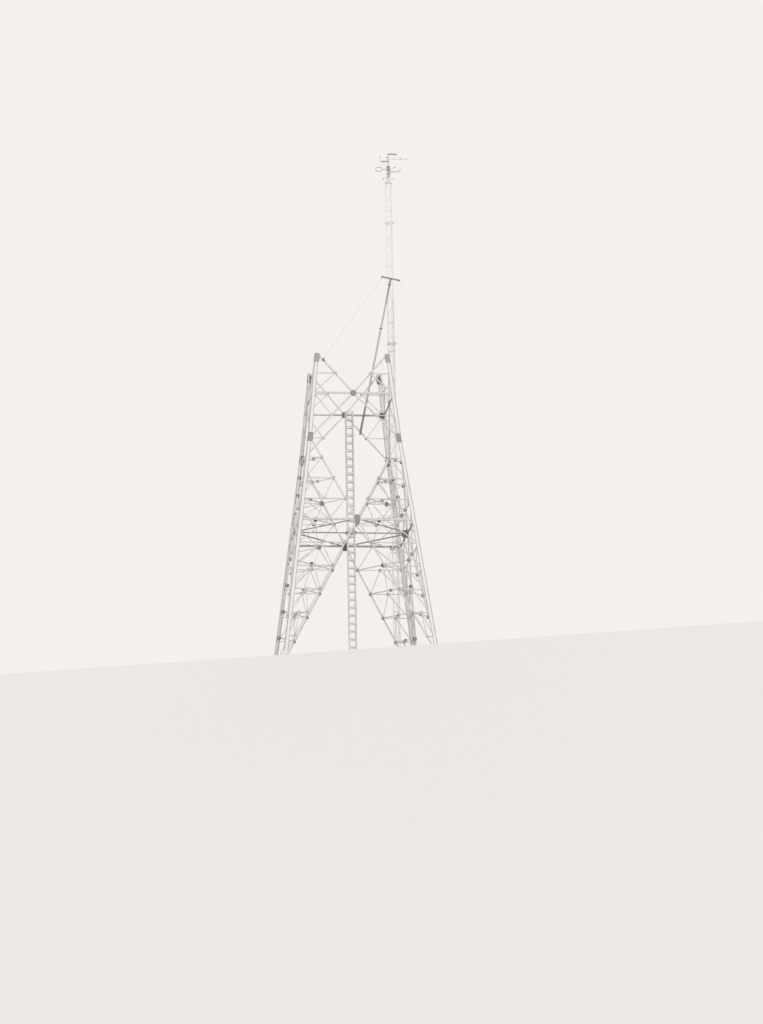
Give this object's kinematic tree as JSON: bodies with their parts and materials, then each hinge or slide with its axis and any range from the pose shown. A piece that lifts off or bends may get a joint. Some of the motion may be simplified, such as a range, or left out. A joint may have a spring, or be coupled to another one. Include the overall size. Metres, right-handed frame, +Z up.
{
  "type": "lattice radio mast, 1:2 scale model",
  "caption": "Open steel lattice tower with a latticed shaft, a leaning derrick pole on top and a slender antenna mast behind it, as a half-size model.",
  "frame": {"origin": "on the tower's axis at floor level, at the middle of the central shaft's foot", "axes": "+X to the right seen from the front, +Y towards the back face, +Z up"},
  "size_m": [10.149, 10.8945, 37.42],
  "materials": {
    "lattice_steel": "weathered grey paint",
    "leg_steel": "weathered grey paint",
    "plate_steel": "dark, dull paint with rust",
    "shaft_steel": "weathered grey paint",
    "derrick_iron": "tarred, dull black",
    "wire_rope": "dull steel wire",
    "mast_steel": "pale, faded grey paint",
    "aerial_metal": "dull metal"
  },
  "bodies": {
    "root": {"aerial_head": "aerial_metal", "antenna_mast": "mast_steel", "back_left_leg": "leg_steel", "back_lower_left_bracing": "lattice_steel", "back_lower_right_bracing": "lattice_steel", "back_middle_left_bracing": "lattice_steel", "back_middle_right_bracing": "lattice_steel", "back_right_leg": "leg_steel", "back_top_left_bracing": "lattice_steel", "back_top_right_bracing": "lattice_steel", "back_upper_beam": "lattice_steel", "back_waist_beam": "lattice_steel", "base_plates": "plate_steel", "block_sheave": "derrick_iron", "central_shaft": "shaft_steel", "corner_ties": "lattice_steel", "derrick_head": "derrick_iron", "derrick_pole": "derrick_iron", "derrick_shoe": "derrick_iron", "derrick_stay": "wire_rope", "front_left_leg": "leg_steel", "front_lower_left_bracing": "lattice_steel", "front_lower_right_bracing": "lattice_steel", "front_middle_left_bracing": "lattice_steel", "front_middle_right_bracing": "lattice_steel", "front_right_leg": "leg_steel", "front_top_left_bracing": "lattice_steel", "front_top_right_bracing": "lattice_steel", "front_upper_beam": "lattice_steel", "front_waist_beam": "lattice_steel", "left_lower_left_bracing": "lattice_steel", "left_lower_right_bracing": "lattice_steel", "left_middle_left_bracing": "lattice_steel", "left_middle_right_bracing": "lattice_steel", "left_top_left_bracing": "lattice_steel", "left_top_right_bracing": "lattice_steel", "left_upper_beam": "lattice_steel", "left_waist_beam": "lattice_steel", "mast_collars": "mast_steel", "mast_ties": "mast_steel", "node_plates": "plate_steel", "right_lower_left_bracing": "lattice_steel", "right_lower_right_bracing": "lattice_steel", "right_middle_left_bracing": "lattice_steel", "right_middle_right_bracing": "lattice_steel", "right_top_left_bracing": "lattice_steel", "right_top_right_bracing": "lattice_steel", "right_upper_beam": "lattice_steel", "right_waist_beam": "lattice_steel", "stay_block": "derrick_iron", "upper_gussets": "plate_steel", "waist_gussets": "plate_steel", "waist_plan_bracing": "lattice_steel"}
  },
  "joints": []
}
